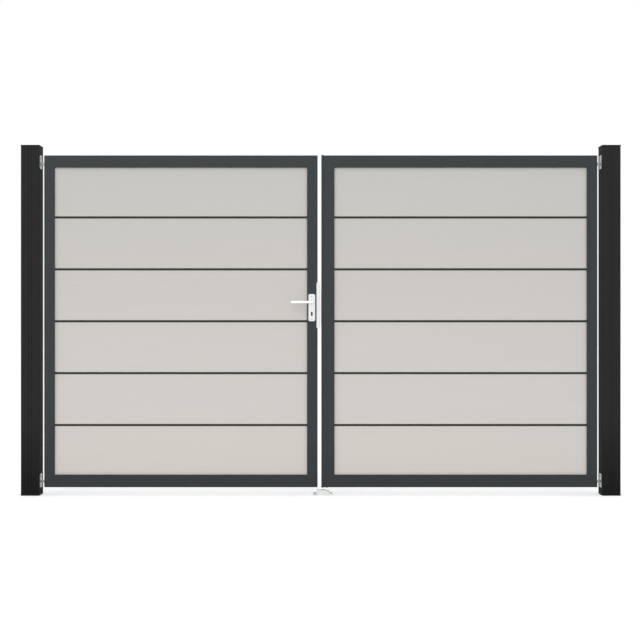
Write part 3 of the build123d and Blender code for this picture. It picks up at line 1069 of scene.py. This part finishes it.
@dataclass(frozen=True)
class Softbox:
    """A square area light that is turned to the middle of the gate.

    Attributes:
        name: the light's name.
        place: where it hangs, from the ground under the middle of the gate's length.
        side: length of its sides.
        power: its power in watts.
    """

    name: str
    place: Point
    side: float
    power: float


KEY_SOFTBOX = Softbox("key_softbox", place=(-1.2, -6.4, 4.6), side=4.5, power=90.0)
TOP_SOFTBOX = Softbox("top_softbox", place=(0.6, -1.2, 5.2), side=5.0, power=30.0)


@dataclass
class Studio:
    """Pale floor, soft light and the camera of the photograph's straight front view.

    Attributes:
        gate: the gate's lowest and highest corners.
        camera_distance: from the lens to the leaves' front face.
        camera_height: the lens above the floor.
        camera_left: the lens to the left of the gate's middle.
        view_width: width of the view at the leaves' front face.
        view_depth: how far the camera sees.
        sensor_mm: width of the camera's sensor.
        floor_reach: from the origin to the floor's edges.
        floor_colour: sRGB hex colour of the floor.
        floor_roughness: the floor's roughness.
        floor_glow: strength that lifts the floor to white where it is seen.
        sky_light: strength of the surroundings as light, where one is white.
        softboxes: the lamps.
    """

    gate: Box
    camera_distance: float = 7.1
    camera_height: float = 0.9532
    camera_left: float = 0.0041
    view_width: float = 3.4705
    view_depth: float = 200.0
    sensor_mm: float = 36.0
    floor_reach: float = 40.0
    floor_colour: str = "#F8F8F8"
    floor_roughness: float = 0.9
    floor_glow: float = 0.36
    sky_light: float = 0.75
    softboxes: tuple[Softbox, ...] = (KEY_SOFTBOX, TOP_SOFTBOX)

    @property
    def middle(self) -> Vector:
        """Centre of the gate."""
        return (self.gate[0] + self.gate[1]) / 2

    def build(self) -> None:
        """Makes the floor, the light and the camera."""
        self.build_floor()
        self.build_sky()
        for softbox in self.softboxes:
            self.build_softbox(softbox)
        self.build_camera()
        bpy.context.scene.view_settings.view_transform = "Standard"

    def build_floor(self) -> None:
        """Makes the white floor, which keeps the gate's soft shadow."""
        reach = self.floor_reach
        corners = [(-reach, -reach, 0.0), (reach, -reach, 0.0), (reach, reach, 0.0), (-reach, reach, 0.0)]
        mesh = bpy.data.meshes.new("studio_floor")
        mesh.from_pydata(corners, [], [(0, 1, 2, 3)])
        floor = bpy.data.objects.new("studio_floor", mesh)
        bpy.context.scene.collection.objects.link(floor)
        surface = bpy.data.materials.new("white_studio_floor")
        surface.use_nodes = True
        tree = surface.node_tree
        tree.nodes.clear()
        glow = add(tree, "ShaderNodeMath", {0: self.shown(tree), 1: self.floor_glow}, operation="MULTIPLY")
        shader = add(tree, "ShaderNodeBsdfPrincipled", {
            "Base Color": linear(self.floor_colour), "Roughness": self.floor_roughness,
            "Specular IOR Level": 0.0, "Emission Color": WHITE, "Emission Strength": glow.outputs["Value"],
        })
        add(tree, "ShaderNodeOutputMaterial", {"Surface": shader.outputs["BSDF"]})
        mesh.materials.append(surface)
        floor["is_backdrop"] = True

    def build_sky(self) -> None:
        """Makes the even white surroundings: softer as light than as seen or mirrored."""
        world = bpy.data.worlds.new("white_surroundings")
        world.use_nodes = True
        tree = world.node_tree
        tree.nodes.clear()
        strength = add(tree, "ShaderNodeMapRange", {
            "Value": self.shown(tree), "To Min": self.sky_light, "To Max": 1.0,
        })
        sky = add(tree, "ShaderNodeBackground", {"Color": WHITE, "Strength": strength.outputs["Result"]})
        add(tree, "ShaderNodeOutputWorld", {"Surface": sky.outputs["Background"]})
        bpy.context.scene.world = world

    def shown(self, tree: bpy.types.NodeTree) -> bpy.types.NodeSocket:
        """Tells rays that show the surroundings, seen, mirrored or through glass, from rays that light.

        Args:
            tree: the node tree of the floor or the sky.

        Returns:
            A socket that is one for a ray that shows them and nought for one that lights.
        """
        rays = add(tree, "ShaderNodeLightPath").outputs
        mirrored = add(tree, "ShaderNodeMath", {
            0: rays["Is Camera Ray"], 1: rays["Is Glossy Ray"],
        }, operation="MAXIMUM")
        shown = add(tree, "ShaderNodeMath", {
            0: mirrored.outputs["Value"], 1: rays["Is Transmission Ray"],
        }, operation="MAXIMUM")
        return shown.outputs["Value"]

    def build_softbox(self, softbox: Softbox) -> None:
        """Makes one softbox, turned to the middle of the gate.

        Args:
            softbox: its name, place, size and power.
        """
        light = bpy.data.lights.new(softbox.name, "AREA")
        light.size = softbox.side
        light.energy = softbox.power
        lamp = bpy.data.objects.new(softbox.name, light)
        place = Vector((self.middle.x, 0.0, 0.0)) + Vector(softbox.place)
        lamp.location = place
        lamp.rotation_euler = (self.middle - place).to_track_quat("-Z", "Y").to_euler()
        bpy.context.scene.collection.objects.link(lamp)

    def build_camera(self) -> None:
        """Makes the level camera in front of the gate, as far off as the posts' perspective asks."""
        camera = bpy.data.cameras.new("photo_camera")
        camera.sensor_width = self.sensor_mm
        camera.lens = self.sensor_mm * self.camera_distance / self.view_width
        camera.clip_end = self.view_depth
        holder = bpy.data.objects.new("photo_camera", camera)
        front_y = as_box("left_hinge_stile")[0].y
        eye_x = self.middle.x - self.camera_left
        holder.location = (eye_x, front_y - self.camera_distance, self.camera_height)
        holder.rotation_euler = (math.pi / 2, 0.0, 0.0)
        bpy.context.scene.collection.objects.link(holder)
        bpy.context.scene.camera = holder


def main() -> None:
    """Loads the frame and builds the gate's finishes, fastenings and studio in order."""
    logging.basicConfig(level=logging.INFO, format="%(name)s: %(message)s")
    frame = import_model()
    cad_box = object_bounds()
    record = frame["record"]
    slots = {part["node"]: part["material_slot"] for part in record["subparts"]}
    CadFinishes(frame["nodes"], slots).dress()
    for side in Side:
        HingeScrews(side).build()
    LockFurniture().build()
    MeetingEdge().build()
    BoltGuideScrews().build()
    mounts = {mount["name"]: mount for mount in record["mounts"]}
    KeeperAnchors(mounts["keeper_fixings"]).build()
    Studio((Vector(cad_box[0]), Vector(cad_box[1]))).build()


if __name__ == "__main__":
    main()
